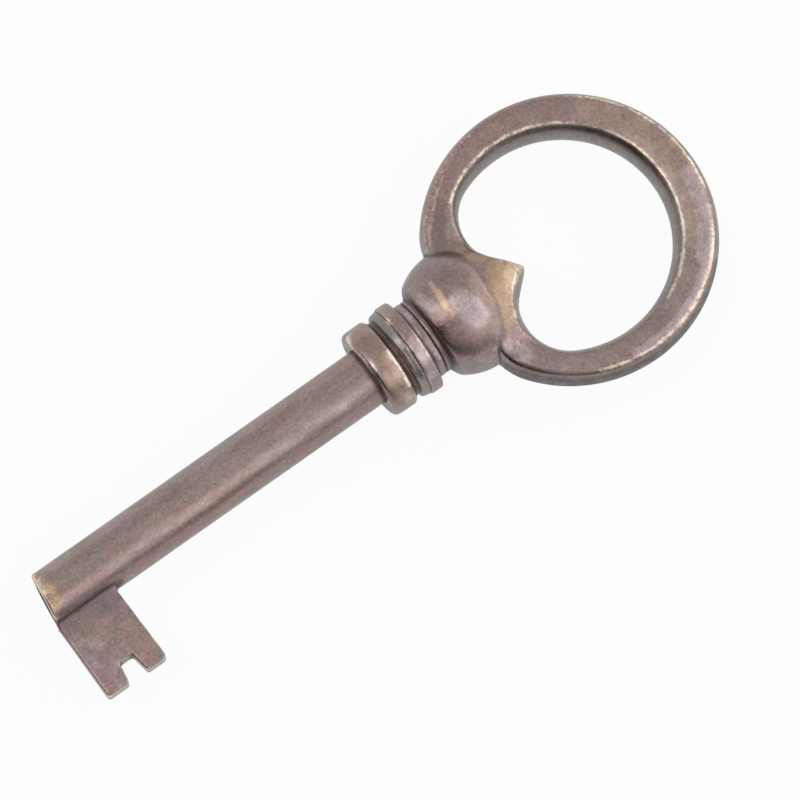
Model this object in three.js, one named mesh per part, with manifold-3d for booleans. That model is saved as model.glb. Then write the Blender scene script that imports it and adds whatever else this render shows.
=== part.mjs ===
import * as THREE from 'three';
import { mergeVertices } from 'three/addons/utils/BufferGeometryUtils.js';
import Module from 'manifold-3d';

// An old skeleton key with a hollow barrel, lying flat. Sizes are millimetres.
// +X runs from the open tip of the barrel to the bow, the bit points to -Y,
// and the flat faces of the bow look up and down.

// Barrel
const barrelDiameter = 6.1;
const barrelLength = 39.9;
const boreDiameter = 3.5;
const boreDepth = 15.0;
const borePointDepth = 0.9;
const tipRound = 0.4;

// Tang of the bow, on which the ball, the rings and the barrel are threaded and brazed
const tangDiameter = 3.0;
const tangDepthInBarrel = 6.0;
const tangPoint = 0.4;

// Clearance between a piece and the neighbour that it fits round
const fitGap = 0.3;

// Closer clearance where the barrel is let into the collar
const seatGap = 0.05;

// Shoulder collar, the stop that meets the lock plate
const collarDiameter = 9.94;
const collarLength = 3.3;
const collarFaceRound = 0.45;
const collarFaceDrop = 0.27;
const collarGrooveWidth = 0.45;
const collarRecess = 1.0;

// Neck ring between the collar and the ball
const neckRingDiameter = 10.2;
const neckRingLength = 3.55;
const neckRingBandWidth = 1.5;
const neckRingBandRound = 0.3;

// Bottom of the grooves beside the rings
const grooveDiameter = 8.56;

// Ball, round in plan and a little flattened from above and below. Its front half is a bead
// on the tang, and its back half belongs to the casting of the bow.
const ballWidth = 13.2;
const ballHeight = 11.2;
const ballFrontLength = 5.05;
const ballBackReach = 5.6;

// Bow, a thick ring with flat faces, cast a little to the bit side of the barrel's line. Its rim
// swells from the edges of the faces to its largest diameter half way up.
const bowDiameter = 30.2;
const bowThickness = 4.7;
const bowRimSwell = 0.65;
const bowFromBall = 12.9;
const bowFootFromBall = -0.3;
const bowSideShift = 0.3;

// Heart-shaped eye through the bow: a round far side, two lobes and a cusp towards the far side.
// Each lobe is a smaller circle that touches the eye's round at this angle from the key's axis.
const eyeDiameter = 24.1;
const eyeFromBall = 12.1;
const lobeRadius = 5.75;
const lobeAngle = 63.6;
const cuspFromBall = 7.0;
const cuspHalfAngle = 48;
const cuspFlankStart = 203;
const eyeRidge = 0.9;

// Saddle, where the bow swells to meet the ball
const saddleLength = 8.1;
const saddleHalfWidth = 6.5;
const saddleHalfHeight = 5.0;

// Bit, the flag that turns the lock, a little wider at its end than at the barrel
const bitWidth = 6.95;
const bitEndWidth = 7.15;
const bitReach = 11.6;
const bitThickness = 2.4;
const bitTongue = 1.0;
const bitCorner = 0.3;

// Ward cut in the end of the bit
const wardCutStart = 2.6;
const wardCutWidth = 2.2;
const wardCutTopWidth = 1.5;
const wardCutDepth = 2.2;

// Smoothness of round forms
const turnSteps = 56;
const bowSteps = 112;

// Places along the key, worked out from the sizes above
const collarStart = barrelLength;
const neckRingStart = collarStart + collarLength;
const ballStart = neckRingStart + neckRingLength;
const ballCentre = ballStart + ballFrontLength;
const bowCentre = ballCentre + bowFromBall;
const bowFoot = ballCentre + bowFootFromBall;
const eyeCentre = ballCentre + eyeFromBall;
const cuspTip = ballCentre + cuspFromBall;
const keyLength = bowCentre + bowDiameter / 2;
const barrelEnd = barrelLength + collarRecess;
const tangStart = barrelEnd - tangDepthInBarrel;
const holeRadius = tangDiameter / 2 + fitGap;

const wasm = await Module();
wasm.setup();

// A closed geometry as a solid that can be cut and joined
function toSolid(geometry) {
  const bare = geometry.clone();
  bare.deleteAttribute('normal');
  bare.deleteAttribute('uv');
  const merged = mergeVertices(bare, 1e-4);
  return new wasm.Manifold(new wasm.Mesh({
    numProp: 3,
    vertProperties: new Float32Array(merged.attributes.position.array),
    triVerts: new Uint32Array(merged.index.array),
  }));
}

// A solid back as a geometry
function toGeometry(solid) {
  const { vertProperties, triVerts } = solid.getMesh();
  const geometry = new THREE.BufferGeometry();
  geometry.setAttribute('position', new THREE.BufferAttribute(vertProperties, 3));
  geometry.setIndex(new THREE.BufferAttribute(triVerts, 1));
  geometry.computeVertexNormals();
  return geometry;
}

// A body turned about the key's own axis from [place along X, radius] points, given from tip to bow
function turned(profile) {
  const points = profile.map(([x, radius]) => new THREE.Vector2(radius, x));
  return new THREE.LatheGeometry(points, turnSteps).rotateZ(-Math.PI / 2);
}

// A plain round bar along the key's axis
function bar(start, end, radius) {
  return turned([[start, 0], [start, radius], [end, radius], [end, 0]]);
}

// Points [x, radius] of an elliptic arc, angles in degrees from the +X direction
function arc(centreX, centreRadius, reachX, reachRadius, from, to, steps) {
  const points = [];
  for (let i = 0; i <= steps; i += 1) {
    const angle = THREE.MathUtils.degToRad(from + (to - from) * i / steps);
    points.push([centreX + reachX * Math.cos(angle), centreRadius + reachRadius * Math.sin(angle)]);
  }
  return points;
}

// A closed skin over stacked closed outlines of equal point count
function loft(outlines) {
  const count = outlines[0].length;
  const last = outlines.length - 1;
  const positions = outlines.flat().flatMap((p) => [p.x, p.y, p.z]);
  const middle = (outline) => outline.reduce((sum, p) => sum.add(p), new THREE.Vector3()).divideScalar(count);
  const firstMiddle = middle(outlines[0]);
  const lastMiddle = middle(outlines[last]);
  positions.push(firstMiddle.x, firstMiddle.y, firstMiddle.z, lastMiddle.x, lastMiddle.y, lastMiddle.z);
  const firstHub = outlines.length * count;
  const lastHub = firstHub + 1;
  const faces = [];
  for (let i = 0; i < count; i += 1) {
    const next = (i + 1) % count;
    for (let level = 0; level < last; level += 1) {
      const low = level * count;
      const high = low + count;
      faces.push(low + i, low + next, high + next);
      faces.push(low + i, high + next, high + i);
    }
    faces.push(firstHub, next, i);
    faces.push(lastHub, last * count + i, last * count + next);
  }
  const geometry = new THREE.BufferGeometry();
  geometry.setAttribute('position', new THREE.Float32BufferAttribute(positions, 3));
  geometry.setIndex(faces);
  return geometry;
}

// Outline of the ball across the key, at a distance from its middle. Its front is round like
// the neck ring, and it flattens towards its middle.
function ballOutline(distance) {
  const halfWidth = ballWidth / 2;
  const halfHeight = ballHeight / 2;
  const grooveRadius = grooveDiameter / 2;
  const reach = distance < 0 ? halfWidth : ballBackReach;
  const width = halfWidth * Math.sqrt(1 - (distance / reach) ** 2);
  const flattening = (halfHeight - grooveRadius) / (halfWidth - grooveRadius);
  const height = distance < 0
    ? grooveRadius + (width - grooveRadius) * flattening
    : width * halfHeight / halfWidth;
  const outline = [];
  for (let i = 0; i < turnSteps; i += 1) {
    const angle = 2 * Math.PI * i / turnSteps;
    outline.push(new THREE.Vector3(ballCentre + distance, width * Math.cos(angle), height * Math.sin(angle)));
  }
  return outline;
}

// A stretch of the ball between two distances from its middle
function ballStretch(from, to, steps) {
  const outlines = [];
  for (let i = 0; i <= steps; i += 1) {
    outlines.push(ballOutline(from + (to - from) * Math.sin(i / steps * Math.PI / 2)));
  }
  return loft(outlines);
}

// Half of the eye's outline, from its far end round one lobe to the tip of the cusp
function eyeHalf() {
  const eyeRadius = eyeDiameter / 2;
  const meeting = Math.PI - THREE.MathUtils.degToRad(lobeAngle);
  const lobeX = eyeCentre + (eyeRadius - lobeRadius) * Math.cos(meeting);
  const lobeSide = (eyeRadius - lobeRadius) * Math.sin(meeting);
  const points = [];
  const farSteps = 24;
  for (let i = 0; i < farSteps; i += 1) {
    const angle = meeting * i / farSteps;
    points.push(new THREE.Vector2(eyeCentre + eyeRadius * Math.cos(angle), eyeRadius * Math.sin(angle)));
  }
  const flankStart = THREE.MathUtils.degToRad(cuspFlankStart);
  const lobeSteps = 12;
  for (let i = 0; i < lobeSteps; i += 1) {
    const angle = meeting + (flankStart - meeting) * i / lobeSteps;
    points.push(new THREE.Vector2(lobeX + lobeRadius * Math.cos(angle), lobeSide + lobeRadius * Math.sin(angle)));
  }
  const start = new THREE.Vector2(
    lobeX + lobeRadius * Math.cos(flankStart),
    lobeSide + lobeRadius * Math.sin(flankStart),
  );
  const tip = new THREE.Vector2(cuspTip, 0);
  const along = new THREE.Vector2(-Math.sin(flankStart), Math.cos(flankStart));
  const back = THREE.MathUtils.degToRad(cuspHalfAngle);
  const pull = start.distanceTo(tip) / 3;
  const flank = new THREE.CubicBezierCurve(
    start,
    start.clone().addScaledVector(along, pull),
    new THREE.Vector2(tip.x - pull * Math.cos(back), pull * Math.sin(back)),
    tip,
  );
  return points.concat(flank.getPoints(10));
}

// Cutter for the eye: it is narrowest half way up, so that the walls have the draft of a casting
function eyeCutter() {
  const half = eyeHalf();
  const mirrored = half.slice(1, -1).reverse().map((p) => new THREE.Vector2(p.x, -p.y));
  const outline = half.concat(mirrored);
  const count = outline.length;
  const inward = outline.map((p, i) => {
    const before = outline[(i + count - 1) % count];
    const after = outline[(i + 1) % count];
    return new THREE.Vector2(before.y - after.y, after.x - before.x).normalize();
  });
  const halfThickness = bowThickness / 2;
  const levels = [-3, -1, -0.5, 0, 0.5, 1, 3];
  return loft(levels.map((level) => {
    const inset = eyeRidge * (1 - Math.min(Math.abs(level), 1) ** 2);
    return outline.map((p, i) => new THREE.Vector3(
      p.x + inward[i].x * inset,
      p.y + inward[i].y * inset - bowSideShift,
      level * halfThickness,
    ));
  }));
}

// Bow: a ring with a swelling rim, a saddle that rises to the back of the ball, and the tang
function bowGeometry() {
  const halfThickness = bowThickness / 2;
  const profile = [new THREE.Vector2(0, -halfThickness)];
  const rimSteps = 10;
  for (let i = 0; i <= rimSteps; i += 1) {
    const level = 2 * i / rimSteps - 1;
    profile.push(new THREE.Vector2(bowDiameter / 2 - bowRimSwell * level ** 2, level * halfThickness));
  }
  profile.push(new THREE.Vector2(0, halfThickness));
  const disc = new THREE.LatheGeometry(profile, bowSteps).rotateX(Math.PI / 2)
    .translate(bowCentre, -bowSideShift, 0);
  const saddle = new THREE.SphereGeometry(1, 56, 36)
    .scale(saddleLength, saddleHalfWidth, saddleHalfHeight)
    .translate(ballCentre, -bowSideShift / 2, 0);
  const ballBack = ballStretch(bowFootFromBall, ballBackReach * 0.995, 12);
  const beyond = keyLength;
  const foot = new THREE.BoxGeometry(beyond, beyond, beyond).translate(bowFoot - beyond / 2, 0, 0);
  const tang = turned([
    [tangStart, 0],
    [tangStart, tangDiameter / 2 - tangPoint],
    [tangStart + tangPoint, tangDiameter / 2],
    [ballCentre, tangDiameter / 2],
    [ballCentre, 0],
  ]);
  return toGeometry(toSolid(disc)
    .add(toSolid(saddle))
    .subtract(toSolid(foot))
    .add(toSolid(ballBack))
    .subtract(toSolid(eyeCutter()))
    .add(toSolid(tang)));
}

// Front half of the ball, with its hole for the tang
function ballKnopGeometry() {
  const front = ballStretch(-ballFrontLength, bowFootFromBall, 14);
  const hole = bar(ballStart - 1, bowFoot + 1, holeRadius);
  return toGeometry(toSolid(front).subtract(toSolid(hole)));
}

// Neck ring: a narrow band between two slopes, threaded on the tang
function neckRingGeometry() {
  const end = neckRingStart + neckRingLength;
  const groove = grooveDiameter / 2;
  const round = neckRingBandRound;
  const roundRadius = neckRingDiameter / 2 - round;
  const bandStart = neckRingStart + (neckRingLength - neckRingBandWidth) / 2;
  const bandEnd = bandStart + neckRingBandWidth;
  return turned([
    [neckRingStart, holeRadius],
    [neckRingStart, groove],
    ...arc(bandStart + round, roundRadius, round, round, 150, 90, 4),
    ...arc(bandEnd - round, roundRadius, round, round, 90, 30, 4),
    [end, groove],
    [end, holeRadius],
    [neckRingStart, holeRadius],
  ]);
}

// Shoulder collar: a flat face towards the lock with a recess for the barrel, a crowned edge
// and a groove behind it
function collarGeometry() {
  const end = collarStart + collarLength;
  const groove = grooveDiameter / 2;
  const radius = collarDiameter / 2;
  const crownEnd = end - collarGrooveWidth;
  const middle = (collarStart + crownEnd) / 2;
  const recessRadius = barrelDiameter / 2 + seatGap;
  return turned([
    [barrelEnd, holeRadius],
    [barrelEnd, recessRadius],
    [collarStart, recessRadius],
    ...arc(collarStart + collarFaceRound, radius - collarFaceRound, collarFaceRound, collarFaceDrop, 180, 90, 4),
    ...arc(middle, groove, crownEnd - middle, radius - groove, 110, 0, 10),
    [end, groove],
    [end, holeRadius],
    [barrelEnd, holeRadius],
  ]);
}

// Barrel: drilled from the tip for the lock's pin, with a socket for the tang at the other end
function shankGeometry() {
  const radius = barrelDiameter / 2;
  const bore = boreDiameter / 2;
  const socketEnd = tangStart - fitGap;
  const tube = turned([
    [boreDepth + borePointDepth, 0],
    [boreDepth, bore],
    [tipRound / 2, bore],
    [0, bore + tipRound / 2],
    ...arc(tipRound, radius - tipRound, tipRound, tipRound, 180, 90, 4),
    [barrelEnd, radius],
    [barrelEnd, holeRadius],
    [socketEnd, holeRadius],
    [socketEnd, 0],
  ]);
  const slotDepth = radius - boreDiameter / 4;
  const slot = new THREE.BoxGeometry(bitWidth * 2, slotDepth, bitThickness)
    .translate(0, -radius - slotDepth / 2 + bitTongue, 0);
  return toGeometry(toSolid(tube).subtract(toSolid(slot)));
}

// Bit: a flag with an arched ward cut, its tongue let into the slot of the barrel
function bitGeometry() {
  const root = -(barrelDiameter / 2 - bitTongue);
  const end = -bitReach;
  const narrowing = (wardCutWidth - wardCutTopWidth) / 2;
  const cutTop = end + wardCutDepth;
  const archRadius = wardCutTopWidth / 2;
  const shape = new THREE.Shape();
  shape.moveTo(0, root);
  shape.lineTo(0, end + bitCorner);
  shape.quadraticCurveTo(0, end, bitCorner, end);
  shape.lineTo(wardCutStart, end);
  shape.lineTo(wardCutStart + narrowing, cutTop - archRadius);
  shape.absarc(wardCutStart + wardCutWidth / 2, cutTop - archRadius, archRadius, Math.PI, 0, true);
  shape.lineTo(wardCutStart + wardCutWidth, end);
  shape.lineTo(bitEndWidth - bitCorner, end);
  shape.quadraticCurveTo(bitEndWidth, end, bitEndWidth, end + bitCorner);
  shape.lineTo(bitWidth, -barrelDiameter / 2);
  shape.lineTo(bitWidth, root);
  shape.closePath();
  return new THREE.ExtrudeGeometry(shape, { depth: bitThickness, bevelEnabled: false, curveSegments: 8 })
    .translate(0, 0, -bitThickness / 2);
}

function piece(name, geometry, color, roughness) {
  const material = new THREE.MeshStandardMaterial({ color, roughness, metalness: 1 });
  const mesh = new THREE.Mesh(geometry, material);
  mesh.name = name;
  return mesh;
}

const group = new THREE.Group();
group.add(
  piece('bow', bowGeometry(), 0x7d6a5e, 0.42),
  piece('ball_knop', ballKnopGeometry(), 0x80695a, 0.4),
  piece('neck_ring', neckRingGeometry(), 0x84705f, 0.4),
  piece('shoulder_collar', collarGeometry(), 0x877363, 0.4),
  piece('shank', shankGeometry(), 0x7b6960, 0.4),
  piece('bit', bitGeometry(), 0x75655c, 0.45),
);
group.position.set(-keyLength / 2, bowSideShift, ballHeight / 2);

export default group;
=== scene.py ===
import math

import bpy
import numpy as np
import openvdb
from mathutils import Matrix, Vector


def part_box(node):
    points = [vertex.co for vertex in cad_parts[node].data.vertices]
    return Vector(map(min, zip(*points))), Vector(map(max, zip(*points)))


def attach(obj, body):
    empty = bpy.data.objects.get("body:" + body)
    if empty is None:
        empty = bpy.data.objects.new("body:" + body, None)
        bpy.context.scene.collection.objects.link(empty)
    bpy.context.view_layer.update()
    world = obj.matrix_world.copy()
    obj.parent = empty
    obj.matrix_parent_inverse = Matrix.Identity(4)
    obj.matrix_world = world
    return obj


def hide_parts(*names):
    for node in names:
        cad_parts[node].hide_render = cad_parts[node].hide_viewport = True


# An old skeleton key. Blender's unit is the metre, and the sizes here are millimetres in key
# space: X from the tip of the barrel to the bow, the bit towards -Y, Z up, with the origin on
# the barrel's axis at its tip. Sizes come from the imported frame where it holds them.

MM = 0.001

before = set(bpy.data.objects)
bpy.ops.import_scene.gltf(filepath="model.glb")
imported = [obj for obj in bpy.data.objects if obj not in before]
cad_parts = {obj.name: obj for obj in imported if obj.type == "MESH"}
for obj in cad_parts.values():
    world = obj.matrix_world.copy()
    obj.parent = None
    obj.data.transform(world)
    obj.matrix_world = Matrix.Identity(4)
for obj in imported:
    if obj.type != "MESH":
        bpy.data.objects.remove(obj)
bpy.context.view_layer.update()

# Places and sizes from the frame
barrel_low, barrel_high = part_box("shank")
collar_low, collar_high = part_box("shoulder_collar")
ring_low, ring_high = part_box("neck_ring")
knop_low, knop_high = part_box("ball_knop")
bow_low, bow_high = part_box("bow")
bit_low, bit_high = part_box("bit")

ORIGIN = Vector((barrel_low.x, (barrel_low.y + barrel_high.y) / 2, (barrel_low.z + barrel_high.z) / 2))


def along(place):
    """Distance of a frame place from the barrel's tip, in millimetres."""
    return (place - ORIGIN.x) / MM


def radius_of(low, high):
    return (high.z - low.z) / 2 / MM


BARREL_RADIUS = radius_of(barrel_low, barrel_high)
BARREL_END = along(barrel_high.x)
COLLAR_START = along(collar_low.x)
COLLAR_END = along(collar_high.x)
COLLAR_RADIUS = radius_of(collar_low, collar_high)
RING_START = along(ring_low.x)
RING_END = along(ring_high.x)
RING_RADIUS = radius_of(ring_low, ring_high)
KNOP_START = along(knop_low.x)
SEAM = along(knop_high.x)
BALL_HALF_HEIGHT = radius_of(bow_low, bow_high)
BOW_RADIUS = (bow_high.y - bow_low.y) / 2 / MM
BOW_CENTRE_X = along(bow_high.x) - BOW_RADIUS
BOW_SHIFT = ORIGIN.y / MM - (bow_high.y + bow_low.y) / 2 / MM
BIT_END_WIDTH = along(bit_high.x)
BIT_REACH = (ORIGIN.y - bit_low.y) / MM
BIT_HALF_THICKNESS = radius_of(bit_low, bit_high)

# Sizes that the frame's boxes don't give
BORE_RADIUS = 1.75
BORE_DEPTH = 15.0
BORE_POINT = 0.9
TANG_RADIUS = 1.5
TANG_START = BARREL_END - 6.0
TANG_CHAMFER = 0.4
SOCKET_SPARE = 0.3
HOLE_RADIUS = 1.8
GROOVE_RADIUS = 4.28

# Ball, and the neck in front of it
BALL_HALF_WIDTH = 6.6
BALL_CENTRE = SEAM + 0.3
BALL_BACK_REACH = 4.8
NECK_RADIUS = 4.12
NECK_LENGTH = 0.55
NECK_CONE_RISE = 1.9
NECK_SWELL = 0.06
NECK_ROUND = 0.12
SEAM_TUCK = 0.7
SEAM_STEP = 0.02

# Bow
BOW_HALF_THICKNESS = 2.35
BOW_RIM_DRAFT = 0.65
RIM_LEAN = 0.9
RIM_ROUND = 0.45
FACE_CROWN = 0.1
FACE_MIDDLE = 13.2
FACE_HALF_WIDTH = 1.3
SADDLE_REACH = (8.1, 6.5, 5.0)
SADDLE_SIDE = -0.35
SADDLE_BLEND = 1.2
CREASE_BLEND = 0.08
FOOT_ROUND = 1.1

# Eye of the bow, and the ridge that its uneven wall keeps half way down
EYE_RADIUS = 12.05
EYE_CENTRE = BALL_CENTRE + 12.1
EYE_TURN = math.radians(2.5)
EYE_EDGE_ROUND = 0.3
LOBE_RADIUS = 5.75
LOBE_ANGLE = math.radians(63.6)
CUSP_TIP = BALL_CENTRE + 7.0
CUSP_HALF_ANGLE = 48
CUSP_FLANK_START = 203
EYE_RIDGE = 1.0
EYE_RIDGE_CHANGE = 0.08
EYE_RIDGE_TURN = math.radians(60)
EYE_RIDGE_DROP = 0.62
EYE_RIDGE_LOW = math.radians(168)
EYE_RIDGE_SPREAD = math.radians(52)

# Turned rings
RING_SLOPE_LENGTH = 1.05
RING_SLOPE_RADIUS = 4.84
RING_SLOPE_RISE = 0.12
RING_SLOPE_EDGE = 0.3
RING_BAND = 1.4
RING_BAND_EDGE = 0.2
RING_BAND_END = RING_START + RING_SLOPE_LENGTH + RING_BAND
COLLAR_FIT = 0.05
COLLAR_EDGE = 0.55
COLLAR_CROWN = 0.6
COLLAR_CROWN_DROP = 0.06
COLLAR_GROOVE = 0.45

# Barrel's end
BARREL_EDGE = 0.3
BORE_EDGE = 0.12

# Bit
BIT_WIDTH = 6.95
CUT_START = 2.6
CUT_WIDTH = 2.2
CUT_TOP_WIDTH = 1.5
CUT_DEPTH = 2.2
BIT_CORNER = 0.3
BIT_END_CORNER = 0.5
CUT_CORNER = 0.25
BIT_EDGE_ROUND = 0.2
BIT_FILLET = 0.6
BIT_FILLET_SINK = 0.06
BIT_OVERLAP = 0.03

# Spacing of mesh points
FINE_CELL = 0.14
BIT_CELL = 0.1
MARGIN_CELLS = 3
HIDDEN_STEP = 0.5
SHOWN_STEP = 0.15
AXIS_GAP = 0.02

# Wear at the barrel's tip: its end is worn oblique, more on the side away from the bit
TIP_WEAR = 0.14
TIP_SLOPE = 0.131
TIP_REACH = 4.0
MOUTH_SHIFT = 0.7

# Camera, over the bit side of the key and a little towards the tip
CAMERA_AZIMUTH = math.radians(-36.643)
CAMERA_ELEVATION = math.radians(76.58)
CAMERA_ROLL = math.radians(0.81)
CAMERA_DISTANCE = 540.5
CAMERA_TARGET = (41.14, -3.81, 0.0)
FRAME_PIXELS = 800
PIXELS_PER_MM = 10.002
SENSOR_WIDTH = 36.0
CAMERA_CLIP_START = 0.01


def to_world(point):
    return ORIGIN + Vector(point) * MM


def camera_direction():
    return Vector((
        math.sin(CAMERA_AZIMUTH) * math.cos(CAMERA_ELEVATION),
        -math.cos(CAMERA_AZIMUTH) * math.cos(CAMERA_ELEVATION),
        math.sin(CAMERA_ELEVATION),
    ))


def camera_axes():
    """The picture's right and up directions, and the direction back to the camera."""
    back = camera_direction()
    level = Vector((math.cos(CAMERA_AZIMUTH), math.sin(CAMERA_AZIMUTH), 0))
    upright = back.cross(level)
    turn = CAMERA_ROLL
    right = level * math.cos(turn) + upright * math.sin(turn)
    up = upright * math.cos(turn) - level * math.sin(turn)
    return right, up, back


def make_camera():
    right, up, back = camera_axes()
    data = bpy.data.cameras.new("camera")
    data.sensor_width = SENSOR_WIDTH
    data.lens = SENSOR_WIDTH * PIXELS_PER_MM * CAMERA_DISTANCE / FRAME_PIXELS
    data.clip_start = CAMERA_CLIP_START
    camera = bpy.data.objects.new("camera", data)
    place = to_world(CAMERA_TARGET) + back * CAMERA_DISTANCE * MM
    turn = Matrix((right, up, back)).transposed().to_4x4()
    camera.matrix_world = Matrix.Translation(place) @ turn
    bpy.context.scene.collection.objects.link(camera)
    bpy.context.scene.camera = camera


make_camera()
bpy.context.scene.view_settings.view_transform = "Standard"


# Soft joins between distance fields. The reach of each join is in millimetres
def soft_max(a, b, reach):
    gap = np.maximum(reach - np.abs(a - b), 0) / reach
    return np.maximum(a, b) + gap * gap * reach / 4


def soft_min(a, b, reach):
    return -soft_max(-a, -b, reach)


def outline_distance(outline, x, y):
    """Signed distance to a closed outline in the plane, negative inside."""
    nearest = np.full(x.shape, 1e9)
    inside = np.zeros(x.shape, dtype=bool)
    for (ax, ay), (bx, by) in zip(outline, np.roll(outline, -1, axis=0)):
        dx, dy = bx - ax, by - ay
        share = ((x - ax) * dx + (y - ay) * dy) / (dx * dx + dy * dy)
        share = np.clip(share, 0, 1)
        nearest = np.minimum(nearest, (x - ax - share * dx) ** 2 + (y - ay - share * dy) ** 2)
        if ay != by:
            crosses = ((ay > y) != (by > y)) & (x < ax + (y - ay) * dx / dy)
            inside ^= crosses
    return np.where(inside, -1, 1) * np.sqrt(nearest)


def eye_half(steps_far, steps_lobe, steps_flank):
    """Half of the eye's outline, from its far end round one lobe to the tip of the cusp."""
    meeting = math.pi - LOBE_ANGLE
    lobe_x = EYE_CENTRE + (EYE_RADIUS - LOBE_RADIUS) * math.cos(meeting)
    lobe_side = (EYE_RADIUS - LOBE_RADIUS) * math.sin(meeting)

    def on_lobe(angle):
        return lobe_x + LOBE_RADIUS * math.cos(angle), lobe_side + LOBE_RADIUS * math.sin(angle)

    points = []
    for i in range(steps_far):
        angle = meeting * i / steps_far
        points.append((EYE_CENTRE + EYE_RADIUS * math.cos(angle), EYE_RADIUS * math.sin(angle)))
    flank_start = math.radians(CUSP_FLANK_START)
    for i in range(steps_lobe):
        points.append(on_lobe(meeting + (flank_start - meeting) * i / steps_lobe))
    start = Vector(on_lobe(flank_start))
    tip = Vector((CUSP_TIP, 0))
    pull = (tip - start).length / 3
    back = math.radians(CUSP_HALF_ANGLE)
    first = start + Vector((-math.sin(flank_start), math.cos(flank_start))) * pull
    second = tip + Vector((-math.cos(back), math.sin(back))) * pull
    for i in range(steps_flank + 1):
        t = i / steps_flank
        point = (start * (1 - t) ** 3 + first * 3 * t * (1 - t) ** 2
                 + second * 3 * t * t * (1 - t) + tip * t ** 3)
        points.append(tuple(point))
    return points


def eye_outline():
    upper = eye_half(steps_far=60, steps_lobe=40, steps_flank=16)
    lower = [(x, -y) for x, y in upper[1:-1]]
    return np.array(upper + lower[::-1])


EYE = eye_outline()


def mesh_object(name, vertices, faces):
    """A mesh given in key-space millimetres, as an object that sits at the frame's origin."""
    mesh = bpy.data.meshes.new(name)
    placed = np.asarray(vertices, dtype=float) * MM + np.array(ORIGIN)
    mesh.from_pydata(placed.tolist(), [], [list(map(int, face)) for face in faces])
    mesh.update()
    mesh.polygons.foreach_set("use_smooth", [True] * len(mesh.polygons))
    piece = bpy.data.objects.new(name, mesh)
    bpy.context.scene.collection.objects.link(piece)
    return piece


def field_mesh(name, field, low, high, cell):
    """A mesh of the surface where a field of key space is zero, between two corners of a box."""
    low = np.array(low, dtype=float)
    counts = np.ceil((np.array(high) - low) / cell).astype(int) + 1
    axes = [low[k] + cell * np.arange(counts[k]) for k in range(3)]
    x, y, z = np.meshgrid(*axes, indexing="ij", sparse=True)
    values = np.broadcast_to(field(x, y, z), counts).astype(np.float32)
    grid = openvdb.FloatGrid(float(values.max()))
    grid.copyFromArray(values)
    points, quads = grid.convertToQuads(isovalue=0.0)
    points = points * cell + low
    return mesh_object(name, points, quads)


def turned_mesh(name, profile, segments, reshape=None):
    """A closed profile of (place, radius) points turned about the barrel's axis."""
    count = len(profile)
    angles = [2 * math.pi * k / segments for k in range(segments)]
    vertices = []
    for angle in angles:
        for place, radius in profile:
            point = (place, radius * math.cos(angle), radius * math.sin(angle))
            vertices.append(reshape(point) if reshape else point)
    faces = []
    for k in range(segments):
        here = k * count
        there = ((k + 1) % segments) * count
        for i in range(count):
            j = (i + 1) % count
            faces.append((here + i, there + i, there + j, here + j))
    return mesh_object(name, vertices, faces)


# The bow's casting as one distance field: ring, saddle, back of the ball, eye and foot
def ellipsoid(x, y, z, centre, reach):
    level = np.sqrt(
        ((x - centre[0]) / reach[0]) ** 2
        + ((y - centre[1]) / reach[1]) ** 2
        + ((z - centre[2]) / reach[2]) ** 2
    )
    return (level - 1) * min(reach)


def ring_field(x, y, z):
    across = np.hypot(x - BOW_CENTRE_X, y + BOW_SHIFT)
    level = z / BOW_HALF_THICKNESS
    rim = (across - BOW_RADIUS + BOW_RIM_DRAFT * level ** 2) * RIM_LEAN
    crown = FACE_CROWN * ((across - FACE_MIDDLE) / FACE_HALF_WIDTH) ** 2
    return soft_max(rim, np.abs(z) - BOW_HALF_THICKNESS + crown, RIM_ROUND)


def ball_field(x, y, z):
    """The ball: flattened in front of its centre, shorter behind it."""
    ahead = np.minimum(x - BALL_CENTRE, 0)
    least_width = 1
    width = np.sqrt(np.maximum(BALL_HALF_WIDTH ** 2 - ahead ** 2, least_width ** 2))
    flattening = (BALL_HALF_HEIGHT - GROOVE_RADIUS) / (BALL_HALF_WIDTH - GROOVE_RADIUS)
    height = GROOVE_RADIUS + (width - GROOVE_RADIUS) * flattening
    front = (np.hypot(y / width, z / height) - 1) * height
    back = ellipsoid(x, y, z, (BALL_CENTRE, 0, 0), (BALL_BACK_REACH, BALL_HALF_WIDTH, BALL_HALF_HEIGHT))
    return np.where(x < BALL_CENTRE, front, back)


def ring_and_saddle_field(x, y, z):
    saddle = ellipsoid(x, y, z, (BALL_CENTRE, SADDLE_SIDE, 0), SADDLE_REACH)
    casting = soft_min(ring_field(x, y, z), saddle, SADDLE_BLEND)
    return soft_max(casting, SEAM - x, FOOT_ROUND)


def eye_distance(x, y):
    """Distance to the eye's outline, which is turned a little about its centre."""
    along_x, along_y = x - EYE_CENTRE, y + BOW_SHIFT
    cosine, sine = math.cos(EYE_TURN), math.sin(EYE_TURN)
    turned_x = EYE_CENTRE + along_x * cosine - along_y * sine
    turned_y = along_x * sine + along_y * cosine
    return outline_distance(EYE, *np.broadcast_arrays(turned_x, turned_y))


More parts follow.
